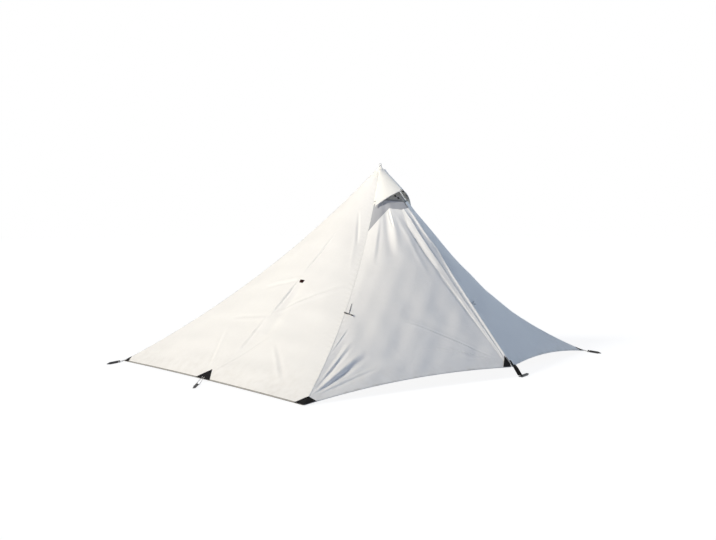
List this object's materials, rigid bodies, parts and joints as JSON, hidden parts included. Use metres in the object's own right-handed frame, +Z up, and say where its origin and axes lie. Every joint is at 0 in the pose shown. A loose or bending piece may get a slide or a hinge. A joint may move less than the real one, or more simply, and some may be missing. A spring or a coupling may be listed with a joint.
{
  "type": "backpacking tent",
  "caption": "Pitched one-pole pyramid tent: pegged fly with zipped door and hooded vent over a net inner tent, held up by a telescoping trekking pole",
  "frame": {"origin": "on the ground plane, on the underside of the tub floor, at the middle of the fly's corner rectangle", "axes": "+X along the door side to the right as seen from outside the door, +Y from the door to the back, +Z up"},
  "size_m": [2.9977, 2.3769, 1.313],
  "materials": {
    "patch_webbing": "black reinforced cloth and webbing",
    "guy_cord": "pale grey braided cord",
    "fly_cloth": "coated woven nylon with a faint square grid, off-white",
    "lock_plastic": "black moulded plastic",
    "inner_net": "fine dark grey net",
    "zip_metal": "black painted die-cast slider",
    "peg_alloy": "black anodised alloy",
    "grip_foam": "black foam",
    "pole_alloy": "dark grey anodised tube",
    "tub_cloth": "grey coated floor cloth",
    "zip_tape": "dark grey coil zip tape"
  },
  "bodies": {
    "root": {"door_strap": "patch_webbing", "elastic_front_left": "guy_cord", "elastic_front_right": "guy_cord", "elastic_rear_left": "guy_cord", "elastic_rear_right": "guy_cord", "fly_front_left": "fly_cloth", "fly_front_right": "fly_cloth", "fly_left_end": "fly_cloth", "fly_rear": "fly_cloth", "fly_right_end": "fly_cloth", "inner_front": "inner_net", "inner_hook": "guy_cord", "inner_left": "inner_net", "inner_rear": "inner_net", "inner_right": "inner_net", "loop_front_right": "guy_cord", "loop_left_mid": "guy_cord", "loop_rear_left": "guy_cord", "loop_rear_mid": "guy_cord", "loop_rear_right": "guy_cord", "loop_right_mid": "guy_cord", "patch_front_left": "patch_webbing", "patch_front_right": "patch_webbing", "patch_left_mid": "patch_webbing", "patch_rear_left": "patch_webbing", "patch_rear_mid": "patch_webbing", "patch_rear_right": "patch_webbing", "patch_right_mid": "patch_webbing", "peak_cap": "fly_cloth", "peg_door": "peg_alloy", "peg_front_right": "peg_alloy", "peg_left_mid": "peg_alloy", "peg_rear_left": "peg_alloy", "peg_rear_mid": "peg_alloy", "peg_rear_right": "peg_alloy", "peg_right_mid": "peg_alloy", "pole_lower": "pole_alloy", "pullout_left": "patch_webbing", "pullout_rear": "patch_webbing", "pullout_right": "patch_webbing", "tieback_toggle": "guy_cord", "tub_floor": "tub_cloth", "vent_mesh": "inner_net", "zip_tape_frame": "zip_tape"},
    "fly_door": {"fly_door": "fly_cloth", "storm_flap": "fly_cloth", "zip_tape_door": "zip_tape", "door_patch": "patch_webbing"},
    "zip_slider": {"zip_slider": "zip_metal"},
    "vent_hood": {"vent_hood": "fly_cloth"},
    "hood_prop": {"hood_prop": "lock_plastic"},
    "inner_door": {"inner_door": "inner_net"},
    "inner_slider": {"inner_slider": "zip_metal"},
    "pole_mid": {"pole_mid": "pole_alloy", "lock_collar_mid": "lock_plastic"},
    "lock_lever_mid": {"lock_lever_mid": "lock_plastic"},
    "pole_upper": {"pole_upper": "pole_alloy", "lock_collar_upper": "lock_plastic", "pole_grip": "grip_foam"},
    "lock_lever_upper": {"lock_lever_upper": "lock_plastic"}
  },
  "joints": [
    {"name": "door_swing", "type": "hinge", "parent": "root", "child": "fly_door", "pos_m": [-1.02, -0.9806, 0.0166], "axis": [-0.6547, -0.3822, -0.6522], "range_deg": [0, 130]},
    {"name": "zip_run", "type": "slide", "parent": "fly_door", "child": "zip_slider", "axis": [-0.0624, 0.632, 0.7725], "range_m": [0, 1.1428]},
    {"name": "hood_tilt", "type": "hinge", "parent": "root", "child": "vent_hood", "pos_m": [0.00226, -0.19452, 1.27223], "axis": [1, 0, 0], "range_deg": [0, 3]},
    {"name": "prop_fold", "type": "hinge", "parent": "vent_hood", "child": "hood_prop", "pos_m": [0.01267, -0.3432, 1.13878], "axis": [1, 0, 0], "range_deg": [0, 47]},
    {"name": "inner_door_swing", "type": "hinge", "parent": "root", "child": "inner_door", "pos_m": [0.89848, -0.088, 0.1601], "axis": [-0.7555, 0, 0.6551], "range_deg": [0, 60]},
    {"name": "inner_zip_run", "type": "slide", "parent": "inner_door", "child": "inner_slider", "axis": [0, 0, 1], "range_m": [0, 0.6415]},
    {"name": "pole_mid_slide", "type": "slide", "parent": "root", "child": "pole_mid", "axis": [0, 0, 1], "range_m": [-0.34, 0]},
    {"name": "pole_upper_slide", "type": "slide", "parent": "pole_mid", "child": "pole_upper", "axis": [0, 0, 1], "range_m": [-0.35, 0]},
    {"name": "lever_mid_flick", "type": "hinge", "parent": "pole_mid", "child": "lock_lever_mid", "pos_m": [-0.0152, -0.171, 0.438], "axis": [0, 0, -1], "range_deg": [0, 110]},
    {"name": "lever_upper_flick", "type": "hinge", "parent": "pole_upper", "child": "lock_lever_upper", "pos_m": [-0.0165, -0.171, 0.858], "axis": [0, 0, -1], "range_deg": [0, 110]}
  ],
  "couplings": [
    {"joint": "zip_run", "follows": "door_swing", "m_per_rad": 0.50342},
    {"joint": "prop_fold", "follows": "hood_tilt", "ratio": 15.659},
    {"joint": "inner_zip_run", "follows": "inner_door_swing", "m_per_rad": 0.61228}
  ]
}
